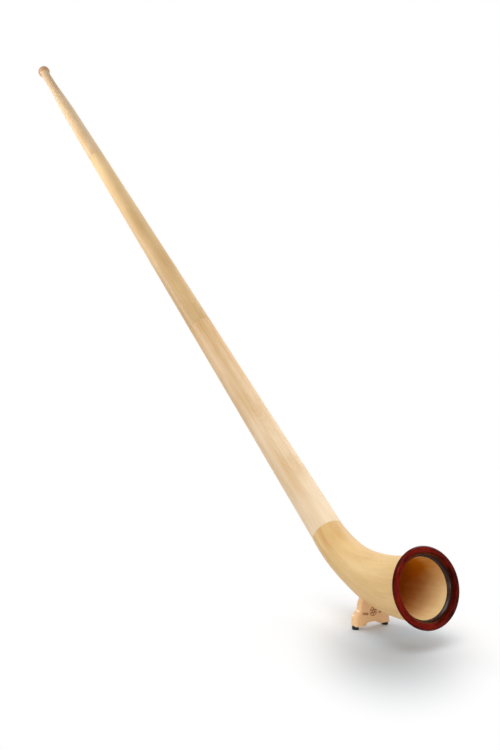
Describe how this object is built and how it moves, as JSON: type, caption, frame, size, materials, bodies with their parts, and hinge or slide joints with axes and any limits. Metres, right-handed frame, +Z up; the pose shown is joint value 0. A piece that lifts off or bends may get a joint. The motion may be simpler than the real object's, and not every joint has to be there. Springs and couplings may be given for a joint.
{
  "type": "alphorn",
  "caption": "Long conical wooden horn with a turned-up bell on a small foot, in plug-together tube sections with a mouthpiece, played standing with the bell on the floor",
  "frame": {"origin": "on the floor, midway between the two foot pads, in the playing pose", "axes": "+X is the way the bell points along the floor, +Z is up, +Y is to the horn's left; the tube climbs towards -X"},
  "size_m": [2.8366, 0.19, 2.0036],
  "materials": {
    "tube_spruce": "pale spruce, satin clear lacquer",
    "bell_spruce": "warmer spruce, satin clear lacquer",
    "ring_lacquer": "dark red hardwood, high gloss lacquer",
    "foot_wood": "pinkish pale hardwood, satin clear lacquer",
    "knob_wood": "pale hardwood, satin clear lacquer",
    "mouthpiece_wood": "dark turned hardwood, polished",
    "joint_brass": "turned, satin",
    "seal_rubber": "soft black ring, matt",
    "pad_rubber": "moulded black rubber, matt",
    "screw_steel": "zinc-plated screw"
  },
  "bodies": {
    "bell_section": {"bell_shell_left": "bell_spruce", "bell_shell_right": "bell_spruce", "bell_ring": "ring_lacquer", "foot_block": "foot_wood", "foot_pad_left": "pad_rubber", "foot_pad_right": "pad_rubber", "pad_screw_left": "screw_steel", "pad_screw_right": "screw_steel", "bell_joint_tenon_sleeve": "joint_brass", "bell_joint_seal_lower": "seal_rubber", "bell_joint_seal_upper": "seal_rubber"},
    "lower_middle_section": {"bell_joint_socket_liner": "joint_brass", "lower_middle_shell_left": "tube_spruce", "lower_middle_shell_right": "tube_spruce", "middle_joint_tenon_sleeve": "joint_brass", "middle_joint_seal_lower": "seal_rubber", "middle_joint_seal_upper": "seal_rubber"},
    "upper_middle_section": {"middle_joint_socket_liner": "joint_brass", "upper_middle_shell_left": "tube_spruce", "upper_middle_shell_right": "tube_spruce", "hand_joint_tenon_sleeve": "joint_brass", "hand_joint_seal_lower": "seal_rubber", "hand_joint_seal_upper": "seal_rubber"},
    "hand_section": {"hand_joint_socket_liner": "joint_brass", "hand_tube_shell_left": "tube_spruce", "hand_tube_shell_right": "tube_spruce", "receiver_knob": "knob_wood", "receiver_sleeve": "joint_brass"},
    "mouthpiece_body": {"mouthpiece": "mouthpiece_wood"}
  },
  "joints": [
    {"name": "bell_joint_pull", "type": "slide", "parent": "bell_section", "child": "lower_middle_section", "axis": [-0.8018, 0, 0.5976], "range_m": [0, 0.058]},
    {"name": "middle_joint_pull", "type": "slide", "parent": "lower_middle_section", "child": "upper_middle_section", "axis": [-0.8018, 0, 0.5976], "range_m": [0, 0.058]},
    {"name": "hand_joint_pull", "type": "slide", "parent": "upper_middle_section", "child": "hand_section", "axis": [-0.8018, 0, 0.5976], "range_m": [0, 0.058]},
    {"name": "mouthpiece_pull", "type": "slide", "parent": "hand_section", "child": "mouthpiece_body", "axis": [-0.8018, 0, 0.5976], "range_m": [0, 0.042]}
  ]
}
